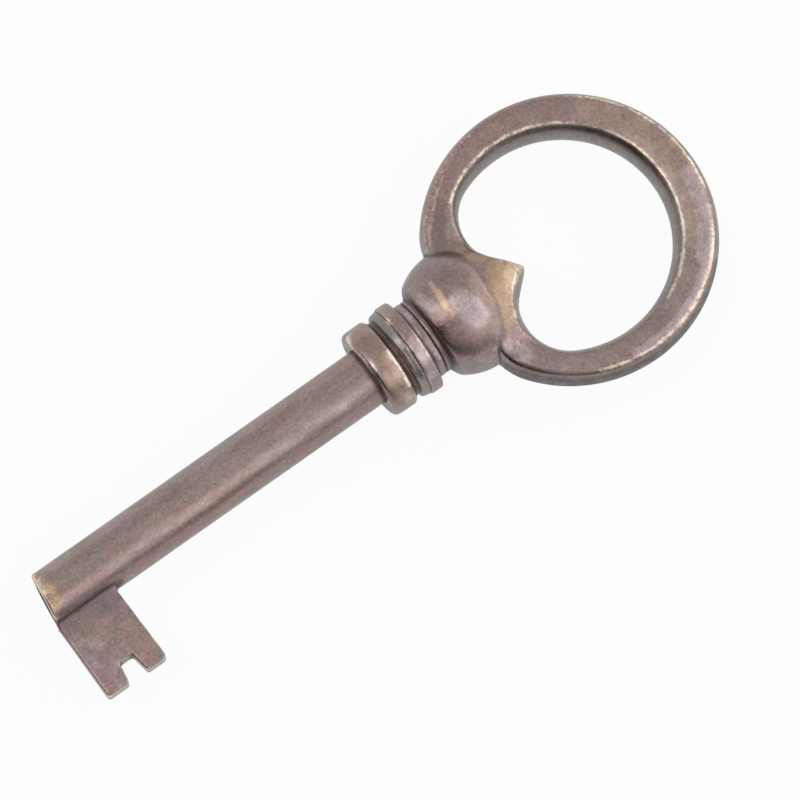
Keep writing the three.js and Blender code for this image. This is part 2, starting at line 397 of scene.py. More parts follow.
def bow_field(x, y, z):
    casting = ring_and_saddle_field(x, y, z)
    tuck = np.maximum(SEAM - x, 0) / SEAM_TUCK
    ball = np.maximum(ball_field(x, y, z) + SEAM_STEP * tuck, SEAM - SEAM_TUCK - x)
    casting = soft_min(casting, ball, CREASE_BLEND)
    turn = np.arctan2(y + BOW_SHIFT, x - EYE_CENTRE)
    from_low = np.abs((turn - EYE_RIDGE_LOW + math.pi) % (2 * math.pi) - math.pi)
    uneven = EYE_RIDGE + EYE_RIDGE_CHANGE * np.cos(turn - EYE_RIDGE_TURN)
    uneven = uneven - EYE_RIDGE_DROP * np.exp(-(from_low / EYE_RIDGE_SPREAD) ** 2)
    ridge = uneven * (1 - np.clip(np.abs(z) / BOW_HALF_THICKNESS, 0, 1) ** 2)
    return soft_max(casting, -(eye_distance(x, y) + ridge), EYE_EDGE_ROUND)


def make_bow():
    margin = MARGIN_CELLS * FINE_CELL
    low = (SEAM - SEAM_TUCK - margin, -BOW_RADIUS - BOW_SHIFT - margin, -BALL_HALF_HEIGHT - margin)
    high = (BOW_CENTRE_X + BOW_RADIUS + margin, BOW_RADIUS + margin, BALL_HALF_HEIGHT + margin)
    return field_mesh("bow_casting", bow_field, low, high, FINE_CELL)


# Front half of the ball, with a short steep neck behind the ring
def knop_field(x, y, z):
    ball = ball_field(x, y, z) + SEAM_STEP * np.maximum(x - SEAM, 0) / SEAM_TUCK
    rise = np.maximum(x - KNOP_START - NECK_LENGTH, 0) * NECK_CONE_RISE
    cone = (np.hypot(y, z) - NECK_RADIUS - NECK_SWELL - rise) / math.hypot(1, NECK_CONE_RISE)
    body = soft_max(ball, cone, NECK_ROUND)
    body = np.maximum(body, x - SEAM - SEAM_TUCK)
    body = np.maximum(body, KNOP_START - x)
    return np.maximum(body, HOLE_RADIUS - np.hypot(y, z))


def make_knop():
    margin = MARGIN_CELLS * FINE_CELL
    low = (KNOP_START - margin, -BALL_HALF_WIDTH - margin, -BALL_HALF_HEIGHT - margin)
    high = (SEAM + SEAM_TUCK + margin, BALL_HALF_WIDTH + margin, BALL_HALF_HEIGHT + margin)
    return field_mesh("ball_front", knop_field, low, high, FINE_CELL)


# Profiles of the turned pieces, as points of place along the axis and radius
def arc(centre, reach, start, end, steps):
    points = []
    for i in range(steps + 1):
        angle = math.radians(start + (end - start) * i / steps)
        points.append((centre[0] + reach[0] * math.cos(angle), centre[1] + reach[1] * math.sin(angle)))
    return points


def span(start, end, step):
    """Points from one profile point to another, the last left out."""
    count = max(1, round(math.dist(start, end) / step))
    return [tuple(start[k] + (end[k] - start[k]) * i / count for k in range(2)) for i in range(count)]


def beside(place, radius, offsets):
    """Profile points given by how far on and how far out they are from one point."""
    return [(place + on, radius + out) for on, out in offsets]


def band(start, end, radius, edge):
    """Profile points of one turned band with rounded edges."""
    top = radius - edge
    flat_inset = edge + 0.08
    return (
        arc((start + edge, top), (edge, edge), 165, 90, 6)
        + span((start + flat_inset, radius), (end - flat_inset, radius), SHOWN_STEP)
        + arc((end - edge, top), (edge, edge), 90, 15, 6)
    )


def ring_profile():
    """A band with a rounded slope in front of it and a low neck behind it."""
    band_start = RING_START + RING_SLOPE_LENGTH
    edge = RING_SLOPE_EDGE
    crest = RING_SLOPE_RADIUS + RING_SLOPE_RISE
    slope_step = 0.12
    neck_start = (RING_BAND_END + 0.35, NECK_RADIUS + NECK_SWELL)
    neck_end = (RING_END - 0.25, NECK_RADIUS + 0.1)
    return (
        span((RING_START, HOLE_RADIUS), (RING_START, GROOVE_RADIUS), HIDDEN_STEP)
        + [(RING_START, GROOVE_RADIUS)]
        + arc((RING_START + 0.42, RING_SLOPE_RADIUS - edge), (edge, edge), 170, 100, 6)
        + span((RING_START + 0.5, RING_SLOPE_RADIUS), (band_start - slope_step, crest), slope_step)
        + beside(band_start, RING_SLOPE_RADIUS, [(-0.1, 0.1), (-0.03, -0.02)])
        + band(band_start, RING_BAND_END, RING_RADIUS, RING_BAND_EDGE)
        + beside(RING_BAND_END, NECK_RADIUS, [(0.04, 0.2), (0.12, 0), (0.25, 0)])
        + span(neck_start, neck_end, SHOWN_STEP)
        + beside(RING_END, NECK_RADIUS, [(-0.15, NECK_SWELL), (0, 0)])
        + span((RING_END, NECK_RADIUS - 0.1), (RING_END, HOLE_RADIUS), HIDDEN_STEP)
        + span((RING_END, HOLE_RADIUS), (RING_START, HOLE_RADIUS), HIDDEN_STEP)
    )


def collar_profile():
    """A crowned band with a groove behind it, and a flat front that is recessed for the barrel."""
    recess = BARREL_RADIUS + COLLAR_FIT
    edge, crown = COLLAR_EDGE, COLLAR_CROWN
    top = COLLAR_RADIUS - COLLAR_CROWN_DROP
    crown_start = COLLAR_END - COLLAR_GROOVE - crown
    return (
        span((BARREL_END, HOLE_RADIUS), (BARREL_END, recess), HIDDEN_STEP)
        + [(BARREL_END, recess), (COLLAR_START + 0.15, recess), (COLLAR_START, recess + 0.1)]
        + arc((COLLAR_START + edge, top - edge - COLLAR_CROWN_DROP), (edge, edge), 180, 100, 8)
        + span((COLLAR_START + edge + 0.2, top - COLLAR_CROWN_DROP / 2), (crown_start, top), 0.2)
        + arc((crown_start, top - crown), (crown, crown), 90, 15, 8)
        + [(COLLAR_END - 0.05, GROOVE_RADIUS), (COLLAR_END, GROOVE_RADIUS)]
        + span((COLLAR_END, GROOVE_RADIUS - 0.1), (COLLAR_END, HOLE_RADIUS), HIDDEN_STEP)
        + span((COLLAR_END, HOLE_RADIUS), (BARREL_END, HOLE_RADIUS), HIDDEN_STEP)
    )


def barrel_profile():
    """A tube's end with its blind bore, and at the other end the socket for the tang."""
    edge, inner = BARREL_EDGE, BORE_EDGE
    beyond_corner = 0.3
    socket = TANG_START - SOCKET_SPARE
    return (
        [(BORE_DEPTH + BORE_POINT, AXIS_GAP), (BORE_DEPTH, BORE_RADIUS)]
        + span((BORE_DEPTH - beyond_corner, BORE_RADIUS), (inner, BORE_RADIUS), HIDDEN_STEP)
        + arc((inner, BORE_RADIUS + inner), (inner, inner), 270, 180, 6)
        + arc((edge, BARREL_RADIUS - edge), (edge, edge), 180, 90, 8)
        + span((edge + beyond_corner, BARREL_RADIUS), (BARREL_END, BARREL_RADIUS), 0.25)
        + [(BARREL_END, BARREL_RADIUS), (BARREL_END, HOLE_RADIUS)]
        + [(socket, HOLE_RADIUS), (socket, AXIS_GAP)]
    )


def worn_tip(point):
    """The barrel's end is worn oblique, and its bore's mouth lies off the axis."""
    x, y, z = point
    fade_out = max(0.0, 1 - x / TIP_REACH) ** 2
    worn = x + (TIP_WEAR + TIP_SLOPE * (y + BARREL_RADIUS)) * fade_out
    inside = max(0.0, 1 - math.hypot(y, z) / BARREL_RADIUS)
    return worn, y + MOUTH_SHIFT * inside * fade_out, z


def tang_profile():
    return [
        (TANG_START, AXIS_GAP),
        (TANG_START, TANG_RADIUS - TANG_CHAMFER),
        (TANG_START + TANG_CHAMFER, TANG_RADIUS),
        (BALL_CENTRE, TANG_RADIUS),
        (BALL_CENTRE, AXIS_GAP),
    ]


# Bit: a flag with a ward cut and a small fillet where it meets the barrel
def bit_field(x, y, z):
    down = -y
    share = (down - BARREL_RADIUS) / (BIT_REACH - BARREL_RADIUS)
    bow_side = BIT_WIDTH + (BIT_END_WIDTH - BIT_WIDTH) * share
    outline = soft_max(-x, x - bow_side, BIT_CORNER)
    outline = soft_max(outline, down - BIT_REACH, BIT_END_CORNER)
    rise = down - (BIT_REACH - CUT_DEPTH)
    middle = CUT_START + CUT_WIDTH / 2
    half = CUT_TOP_WIDTH / 2 + (CUT_WIDTH - CUT_TOP_WIDTH) / 2 * np.clip(rise / CUT_DEPTH, 0, 1)
    cut = soft_max(np.abs(x - middle) - half, -rise, BIT_CORNER)
    outline = soft_max(outline, -cut, CUT_CORNER)
    slab = soft_max(outline, np.abs(z) - BIT_HALF_THICKNESS, BIT_EDGE_ROUND)
    around = np.hypot(y, z)
    barrel = soft_max(around - BARREL_RADIUS + BIT_FILLET_SINK, -x, BIT_CORNER)
    joined = soft_min(slab, barrel, BIT_FILLET)
    joined = soft_max(joined, -x, BIT_CORNER)
    return np.maximum(joined, BARREL_RADIUS - BIT_OVERLAP - around)


def make_bit():
    margin = MARGIN_CELLS * BIT_CELL
    fillet_room, top = 1.5, -1.0
    low = (-margin, -BIT_REACH - margin, -BARREL_RADIUS)
    high = (BIT_END_WIDTH + fillet_room, top, BARREL_RADIUS)
    return field_mesh("bit_flag", bit_field, low, high, BIT_CELL)


# Wear and grime, with painted highlights, reflections and shade, stored on the vertices by place
def fade(value, start, full):
    """Rises smoothly from 0 at the start to 1 where it is full, which may be the lower value."""
    share = np.clip((value - start) / (full - start), 0, 1)
    return share * share * (3 - 2 * share)


def on_bow(angle, reach, height):
    turn = math.radians(angle)
    return (BOW_CENTRE_X + reach * math.cos(turn), reach * math.sin(turn) - BOW_SHIFT, height)


def on_eye(angle, reach, height):
    turn = math.radians(angle)
    return (EYE_CENTRE + reach * math.cos(turn), reach * math.sin(turn) - BOW_SHIFT, height)


def bow_arc(layer, first, last, reach, height, radius, strength, place=on_bow):
    """Marks along an arc of the bow, from one angle to another in degrees."""
    degrees_per_mark = 12
    steps = max(1, round((last - first) / degrees_per_mark))
    angles = [first + (last - first) * i / steps for i in range(steps + 1)]
    return [
        (layer, place(a, reach, height), place(b, reach, height), radius, strength)
        for a, b in zip(angles, angles[1:])
    ]


# Each mark is a layer, start, end, radius and strength, in key-space millimetres. An arc on the
# bow has a layer, first and last angle, distance from the centre, height, radius and strength.
BOW_MARKS = (
    # Worn streak on the crown of the ball, rubbed lighter patches that are partly painted highlights,
    # and darker patches that are painted shade
    [("rub", (49.95, 3.2, 4.6), (49.9, 1.8, 5.2), 0.32, 0.75),
     ("rub", (49.9, 1.8, 5.2), (49.7, 0.4, 5.4), 0.45, 0.9),
     ("rub", (49.7, 0.4, 5.4), (49.8, -0.7, 5.4), 0.32, 0.6),
     ("pale_and_sheen", (51.2, -0.2, 5.5), (51.7, -2.2, 5.1), 1.4, 1.0),
     ("pale_and_sheen", (48.3, 2.7, 4.4), (48.6, 1.0, 5.0), 0.7, 0.8),
     ("grime_and_shade", (49.2, -3.6, 4.2), (51.0, -4.4, 3.6), 1.5, 0.2),
     ("pale_and_sheen", (50.5, -5.8, 2.4), (53.0, -6.3, 1.2), 1.4, 0.4),
     ("grime_and_shade", (51.6, 2.6, 4.9), (50.4, 4.6, 3.6), 1.5, 0.3)]
    # Cusp and the web round it
    + [("rub", (58.5, 0.3, 2.4), (57.2, -0.8, 3.5), 1.35, 0.9),
       ("rub", (57.2, -0.8, 3.5), (56.0, -2.6, 3.5), 1.0, 0.5),
       ("rub", (56.0, -2.6, 3.5), (54.9, -4.3, 3.3), 0.8, 0.4),
       ("rub", (54.9, -4.3, 3.3), (54.3, -6.6, 2.7), 0.7, 0.2),
       ("gold", (56.8, 0.8, 3.7), (54.9, -1.7, 4.3), 1.5, 0.9),
       ("gold", (54.9, -1.7, 4.3), (54.0, -4.8, 3.8), 0.8, 0.6),
       ("grime_and_shade", (53.2, -1.9, 5.0), (53.0, -4.0, 4.3), 0.75, 0.3),
       ("gold", (56.8, 1.6, 3.6), (55.0, 3.6, 3.9), 0.8, 0.5),
       # Cooler grey low on both sides of the ball is a painted reflection
       ("cool", (48.6, -5.4, 1.2), (52.2, -6.3, 0.6), 1.5, 0.8),
       ("cool", (48.2, 4.8, 1.6), (50.8, 6.2, 1.4), 1.2, 0.7),
       ("warm", (57.2, 1.2, 3.4), (55.0, 4.2, 3.6), 1.4, 0.95),
       ("red", (57.4, 1.1, 3.5), (55.6, 3.4, 3.6), 1.5, 0.9),
       ("red", (55.6, 3.4, 3.6), (54.8, 6.2, 3.0), 1.3, 0.7),
       ("rub", (57.6, 0.9, 3.3), (56.3, 2.4, 3.4), 0.6, 0.5)]
    # Rubbed edges of the flat faces
    + bow_arc("rub", -114, -30, 14.5, 2.25, 0.3, 0.6)
    + bow_arc("rub", 96, 150, 14.5, 2.2, 0.35, 0.3)
    + bow_arc("rub", -16, 56, 14.55, 2.25, 0.28, 0.6)
    + bow_arc("rub", -66, 58, 12.1, 2.2, 0.24, 0.6, on_eye)
    + bow_arc("rub", -54, 30, 12.12, 2.25, 0.24, 0.85, on_eye)
    + bow_arc("rub", 58, 132, 12.1, 2.2, 0.24, 0.48, on_eye)
    + bow_arc("rub", 118, 142, 14.0, 2.35, 0.22, 0.5)
    # Tones of the flat faces; the lighter arcs are partly painted highlights, and the darker arcs grime
    # and painted shade
    + bow_arc("pale_and_sheen", -98, -24, 13.95, 2.35, 0.5, 0.9)
    + bow_arc("pale_and_sheen", -46, -8, 13.5, 2.35, 0.9, 0.75)
    + bow_arc("pale_and_sheen", -160, -146, 13.2, 2.35, 1.0, 0.5)
    + bow_arc("warm", -40, 46, 13.2, 2.35, 1.3, 0.85)
    + bow_arc("red", 60, 104, 13.3, 2.35, 1.1, 0.8)
    + bow_arc("red", 102, 140, 13.8, 2.35, 1.3, 0.95)
    + bow_arc("grime_and_shade", 132, 152, 13.3, 2.35, 1.0, 0.5)
    + bow_arc("pale_and_sheen", 138, 160, 14.5, 2.0, 0.5, 0.5)
    + bow_arc("grime_and_shade", 18, 60, 12.8, 2.35, 0.7, 0.2)
    + bow_arc("grime_and_shade", -142, -100, 12.8, 2.35, 0.8, 0.22)
    + bow_arc("pale_and_sheen", 152, 172, 13.4, 2.35, 1.0, 0.4)
    # Outer rim: a cooler grey that is a painted reflection, and painted shade on its wall from the foot
    # round the bit side
    + bow_arc("cool", -150, -40, 15.1, 0, 1.3, 0.7)
    + bow_arc("cool", 60, 164, 15.1, 0.4, 1.0, 0.7)
    + bow_arc("cool", -40, -16, 15.1, 0, 1.2, 0.4)
    + bow_arc("grime_and_shade", -48, -36, 15.1, 0, 1.5, 0.48)
    + bow_arc("grime_and_shade", -36, -24, 15.1, 0, 1.4, 0.3)
    + bow_arc("grime_and_shade", -24, -12, 15.1, 0, 1.3, 0.16)
    + bow_arc("grime_and_shade", -150, -48, 15.1, 0.7, 1.3, 0.68)
    + bow_arc("grime_and_shade", -150, -48, 15.1, -0.7, 1.3, 0.8)
)
BARREL_MARKS = [
    ("rub", (0.9, 1.6, 2.6), (1.4, 0.4, 3.0), 0.8, 0.6),
    ("rub", (1.4, 0.6, 3.0), (1.5, -0.4, 3.0), 0.6, 0.6),
    ("rub", (0.9, 2.4, 1.6), (0.5, 0.6, 2.9), 0.42, 1.0),
    ("rub", (0.5, 0.6, 2.9), (0.4, -2.2, 1.9), 0.28, 0.6),
    # Dark on the lower part of the tip's end face is painted shade
    ("grime_and_shade", (0.8, 2.2, -1.4), (0.5, -0.4, -2.4), 0.9, 0.9),
    ("red", (3.0, -1.5, 2.7), (6.2, -1.4, 2.7), 0.9, 0.8),
    ("red", (8.6, -0.2, 3.0), (11.2, -0.4, 3.0), 0.8, 0.85),
    ("red", (15.5, -0.9, 2.9), (20.0, -0.9, 2.9), 0.9, 0.6),
    ("red", (26.0, 0.6, 3.0), (30.0, 0.4, 3.0), 1.0, 0.5),
    # Lighter strips along the barrel are painted highlights
    ("pale_and_sheen", (11.0, -1.6, 2.6), (20.0, -1.7, 2.6), 0.5, 0.3),
    ("pale_and_sheen", (28.0, -1.5, 2.7), (36.0, -1.6, 2.6), 0.5, 0.3),
    ("gold", (1.4, 0.5, 3.0), (1.3, -1.0, 2.8), 0.95, 0.8),
    ("gold", (0.9, 1.8, 2.4), (1.4, 0.5, 3.0), 0.8, 0.75),
    # Cooler grey along both sides of the barrel is a painted reflection
    ("cool", (7.4, -3.0, -0.3), (39.0, -3.0, -0.3), 0.85, 0.85),
    ("cool", (2.0, 3.0, 0.2), (39.0, 3.0, 0.2), 0.7, 0.6),
    ("grime_and_shade", (3.5, -1.3, 2.8), (8.5, -1.2, 2.8), 0.6, 0.2),
    # Dark along the barrel where the bit meets it is painted shade at the joint
    ("grime_and_shade", (0.0, -3.0, 1.0), (7.2, -3.0, 1.0), 0.9, 0.9),
    ("grime_and_shade", (0.0, -3.0, -1.0), (7.2, -3.0, -1.0), 0.9, 0.9),
]
BIT_MARKS = [
    ("red", (5.6, -4.6, 1.2), (6.1, -10.6, 1.2), 1.6, 0.5),
    ("pale_and_sheen", (1.6, -6.5, 1.2), (2.2, -10.5, 1.2), 1.4, 0.28),
    # Dark along the bit's root on both faces is painted shade where it meets the barrel
    ("grime_and_shade", (0.0, -3.3, 1.2), (6.9, -3.3, 1.2), 1.8, 0.45),
    ("grime_and_shade", (0.0, -3.3, -1.2), (6.9, -3.3, -1.2), 1.3, 0.6),
    ("rub", (0.4, -11.6, 0.4), (2.4, -11.6, 0.4), 0.6, 0.6),
    ("rub", (5.2, -11.6, 0.4), (6.9, -11.6, 0.4), 0.6, 0.6),
]
# Lighter marks on the collar and neck ring are painted highlights, the lighter one on the neck behind
# the band a painted reflection, and the dark mark grime and painted shade
RING_MARKS = [
    ("rub", (40.05, 3.8, 2.9), (40.05, -0.8, 4.8), 0.45, 0.9),
    ("pale_and_sheen", (40.3, 3.9, 2.8), (40.3, -1.0, 4.8), 0.5, 0.8),
    ("rub", (42.45, -0.2, 4.9), (42.45, -3.8, 3.2), 0.42, 0.95),
    ("red", (41.3, 3.2, 3.8), (41.4, -0.8, 4.9), 1.1, 0.9),
    ("pale_and_sheen", (42.0, -0.4, 4.9), (42.1, -3.4, 3.6), 0.7, 0.7),
    ("warm", (41.2, -2.6, 4.2), (41.4, -4.2, 2.6), 1.0, 0.8),
    ("gold", (41.2, 0.2, 4.9), (41.6, -2.8, 4.0), 0.8, 0.6),
    ("pale_and_sheen", (41.6, -4.3, 2.2), (42.2, -4.8, 1.0), 0.8, 0.4),
    ("grime_and_shade", (40.4, -3.4, 3.3), (40.8, -4.3, 2.2), 0.8, 0.35),
    ("red", (44.9, 3.2, 4.0), (44.9, 0.0, 5.1), 0.8, 0.6),
    ("pale_and_sheen", (45.0, -0.8, 5.1), (45.0, -4.2, 3.0), 0.7, 0.9),
    ("rub", (44.3, 2.8, 4.2), (44.3, -1.2, 4.9), 0.22, 0.8),
    ("rub", (45.6, -0.8, 5.0), (45.6, -2.6, 4.3), 0.2, 0.8),
    ("pale_and_sheen", (46.4, 2.2, 3.7), (46.5, -3.2, 2.9), 0.5, 0.9),
]


def mark_level(points, marks, layer):
    """How strongly one layer's marks cover each point: full at a mark's core, nothing past its edge."""
    core, outer = 0.45, 1.35
    level = np.zeros(len(points))
    for mark_layer, start, end, radius, strength in marks:
        if mark_layer != layer:
            continue
        start, end = np.array(start), np.array(end)
        reach = end - start
        share = np.clip((points - start) @ reach / max(reach @ reach, 1e-9), 0, 1)
        distance = np.linalg.norm(points - start - share[:, None] * reach, axis=1)
        level = np.maximum(level, strength * fade(distance, outer * radius, core * radius))
    return level


def axis_distance(points):
    return np.hypot(points[:, 1], points[:, 2])


def eye_wall(points):
    """One on the wall of the eye, nothing on the flat faces."""
    x, y, z = points.T
    face = BOW_HALF_THICKNESS - 0.1
    return fade(eye_distance(x, y), 0.12, -0.18) * fade(np.abs(z), face, face - 0.3)


def bow_grime_and_shade(points):
    """Grime and painted shade: dark in the eye's wall, most of all below its edge on the side away from
    the bit, and in the crease round the ball.
    """
    x, y, z = points.T
    wall_strength, edge_strength, crease_strength = 0.06, 0.55, 0.5
    below_edge = fade(np.abs(z), 1.3, 1.8) * fade(y, -3, 2)
    crease = fade(np.abs(ball_field(x, y, z) - ring_and_saddle_field(x, y, z)), 0.22, 0)
    wall = eye_wall(points) * (wall_strength + edge_strength * below_edge)
    return np.maximum(wall, crease_strength * crease)


def hollow_grime_and_shade(points):
    """Grime and painted shade: dark in the grooves between the turned rings and in front of the ball.
    """
    x = points[:, 0]
    front_strength, back_strength = 0.25, 0.2
    line_strength, neck_strength, joint_strength = 0.8, 0.62, 0.6
    groove = fade(axis_distance(points), NECK_RADIUS + 0.3, NECK_RADIUS)
    groove = groove * np.where(x < RING_START + 1, front_strength, back_strength)
    line = line_strength * fade(np.abs(x - RING_BAND_END - 0.12), 0.22, 0)
    # The dark over the neck and the ball's front edge is painted shade
    neck_end = KNOP_START + NECK_LENGTH
    neck = fade(x, neck_end + 0.9, neck_end) * fade(x, KNOP_START + 0.1, KNOP_START + 0.4)
    joint = joint_strength * fade(np.abs(x - KNOP_START), 0.28, 0.08)
    level = np.where(x < KNOP_START, np.maximum(groove, line), neck_strength * neck)
    return np.maximum(level, joint)


def barrel_grime_and_shade(points):
    """Grime and painted shade: dark in the bore, and where the barrel enters the collar."""
    shoulder_strength = 0.8
    bore = fade(axis_distance(points), BORE_RADIUS + 0.12, BORE_RADIUS + 0.02)
    shoulder = fade(points[:, 0], COLLAR_START - 0.5, COLLAR_START - 0.1)
    return np.maximum(bore, shoulder_strength * shoulder)


def bit_grime_and_shade(points):
    """Grime and painted shade: dark along the line where bit and barrel meet."""
    line_strength = 0.8
    return line_strength * fade(axis_distance(points), BARREL_RADIUS + 0.45, BARREL_RADIUS + 0.05)


def cool_reflection_places(points):
    """A cooler grey, painted as a reflection, on the wall of the eye and the slope in front of the neck
    ring.
    """
    wall_strength = 0.9
    x = points[:, 0]
    slope_end = RING_START + RING_SLOPE_LENGTH
    slope = fade(x, RING_START - 0.1, RING_START + 0.1) * fade(x, slope_end + 0.02, slope_end - 0.08)
    return np.maximum(wall_strength * eye_wall(points) * (x > SEAM), slope)


def edge_bend(mesh, points, rounds):
    """How sharply the surface bends at each vertex, positive on raised edges, per millimetre."""
    count = len(points)
    normals = np.empty(count * 3)
    mesh.vertex_normals.foreach_get("vector", normals)
    normals = normals.reshape(-1, 3)
    pairs = np.empty(len(mesh.edges) * 2, dtype=np.int32)
    mesh.edges.foreach_get("vertices", pairs)
    pairs = pairs.reshape(-1, 2)
    start, end = np.concatenate([pairs, pairs[:, ::-1]]).T
    step = points[end] - points[start]
    bend = -2 * (step * normals[start]).sum(axis=1) / np.maximum((step ** 2).sum(axis=1), 1e-9)
    shares = np.maximum(np.bincount(start, minlength=count), 1)
    level = np.bincount(start, bend, count) / shares
    for _ in range(rounds):
        level = (level + np.bincount(start, level[end], count) / shares) / 2
    return level


LAYERS = ("rub", "pale_and_sheen", "red", "warm", "gold", "cool", "grime_and_shade")


def paint(piece, marks, grime_and_shade):
    """Store the level of every layer, and the bend of the surface, on the piece's vertices."""
    smoothing_rounds = 4
    grime_and_shade_over_bend = 1.6
    mesh = piece.data
    points = np.empty(len(mesh.vertices) * 3)
    mesh.vertices.foreach_get("co", points)
    points = (points.reshape(-1, 3) - np.array(ORIGIN)) / MM
    levels = {layer: mark_level(points, marks, layer) for layer in LAYERS}
    levels["grime_and_shade"] = np.maximum(levels["grime_and_shade"], grime_and_shade(points))
    levels["cool"] = np.maximum(levels["cool"], cool_reflection_places(points))
    bend = edge_bend(mesh, points, smoothing_rounds)
    clean = np.clip(1 - grime_and_shade_over_bend * levels["grime_and_shade"], 0, 1)
    levels["bend"] = np.where(bend > 0, bend * clean, bend)
    for layer, level in levels.items():
        attribute = mesh.attributes.new(layer, "FLOAT", "POINT")
        attribute.data.foreach_set("value", level.astype(np.float32))


# Colours of the patina and of the metal below it, and of painted highlights and reflections
SLATE = (0.115, 0.105, 0.104)
PALE = (0.53, 0.42, 0.43)
GREY_GREEN = (0.25, 0.215, 0.195)
COOL_REFLECTION = (0.285, 0.264, 0.252)
ROSE = (0.40, 0.268, 0.262)
OLIVE = (0.31, 0.262, 0.20)
RED = (0.36, 0.24, 0.222)
WARM = (0.42, 0.305, 0.248)
DULL_GOLD = (0.435, 0.298, 0.195)
COPPER = (0.66, 0.47, 0.35)
GOLD = (0.62, 0.455, 0.31)
CREAM_GLINT = (0.84, 0.73, 0.62)
EDGE_REFLECTION = (0.93, 1.0, 0.99, 1)

# Sizes of the noise patterns and the depth of the relief, in millimetres
BROAD_SIZE = 6.5
CLOUD_SIZE = 2.1
BLOOM_SIZE = 1.7
PATCH_SIZE = 1.1
HUE_SIZE = 0.8
GRAIN_SIZE = 0.32
SCRATCH_SIZE = 0.2
FINE_SIZE = 0.13
FLECKS_PER_MM = 2.1
RELIEF_DEPTH = 0.03

# Painted tints: layer, how ragged its border is, strength and colour
TINTS = (
    ("warm", 1.2, 0.8, WARM),
    ("red", 1.6, 0.8, RED),
    # The lighter tint is partly a painted highlight
    ("pale_and_sheen", 1.4, 0.9, PALE),
    ("gold", 1.0, 0.9, DULL_GOLD),
)


class Graph:
    """Short names for the shader nodes of one material."""

    def __init__(self, name):
        self.material = bpy.data.materials.new(name)
        self.material.use_nodes = True
        self.nodes = self.material.node_tree.nodes
        self.links = self.material.node_tree.links
        self.shader = self.nodes["Principled BSDF"]

    def plug(self, socket, value):
        if isinstance(value, bpy.types.NodeSocket):
            self.links.new(value, socket)
        elif isinstance(value, tuple) and len(value) == 3 and socket.type == "RGBA":
            socket.default_value = (*value, 1)
        else:
            socket.default_value = value

    def node(self, kind, inputs, output=0, **settings):
        node = self.nodes.new("ShaderNode" + kind)
        for key, value in settings.items():
            setattr(node, key, value)
        for key, value in inputs.items():
            self.plug(node.inputs[key], value)
        return node.outputs[output]

    def math(self, operation, a, b):
        return self.node("Math", {0: a, 1: b}, operation=operation)

    def scaled(self, value, strength):
        return self.math("MULTIPLY", value, strength)

    def centred(self, noise, strength):
        """Noise shifted to lie about zero, times its strength."""
        return self.scaled(self.math("SUBTRACT", noise, 0.5), strength)

    def place(self, stretch=(1, 1, 1), shift=(0, 0, 0)):
        """Object coordinates in millimetres, stretched for a grained texture."""
        coordinates = self.node("TexCoord", {}, output="Object")
        per_metre = tuple(s / MM for s in stretch)
        stretched = self.node("VectorMath", {0: coordinates, 1: per_metre}, operation="MULTIPLY")
        return self.node("VectorMath", {0: stretched, 1: shift}, operation="ADD")

    def noise(self, place, size, detail=3.0, roughness=0.6):
        """Noise between 0 and 1 whose lumps are about this many millimetres across."""
        inputs = {"Vector": place, "Scale": 1 / size, "Detail": detail, "Roughness": roughness}
        return self.node("TexNoise", inputs)

    def ramp(self, value, start, end, low=0.0, high=1.0):
        inputs = {"Value": value, "From Min": start, "From Max": end, "To Min": low, "To Max": high}
        return self.node("MapRange", inputs, interpolation_type="SMOOTHSTEP")

    def mix(self, share, first, second):
        return self.node("Mix", {0: share, 6: first, 7: second}, output=2, data_type="RGBA")

    def layer(self, name):
        return self.node("Attribute", {}, output="Fac", attribute_name=name)

    def ragged(self, layer, noise, spread):
        """A painted layer with its border broken up by noise."""
        present = self.ramp(self.layer(layer), 0.02, 0.2)
        level = self.math("ADD", self.layer(layer), self.centred(noise, spread))
        return self.math("MULTIPLY", self.ramp(level, 0.1, 0.95), present)


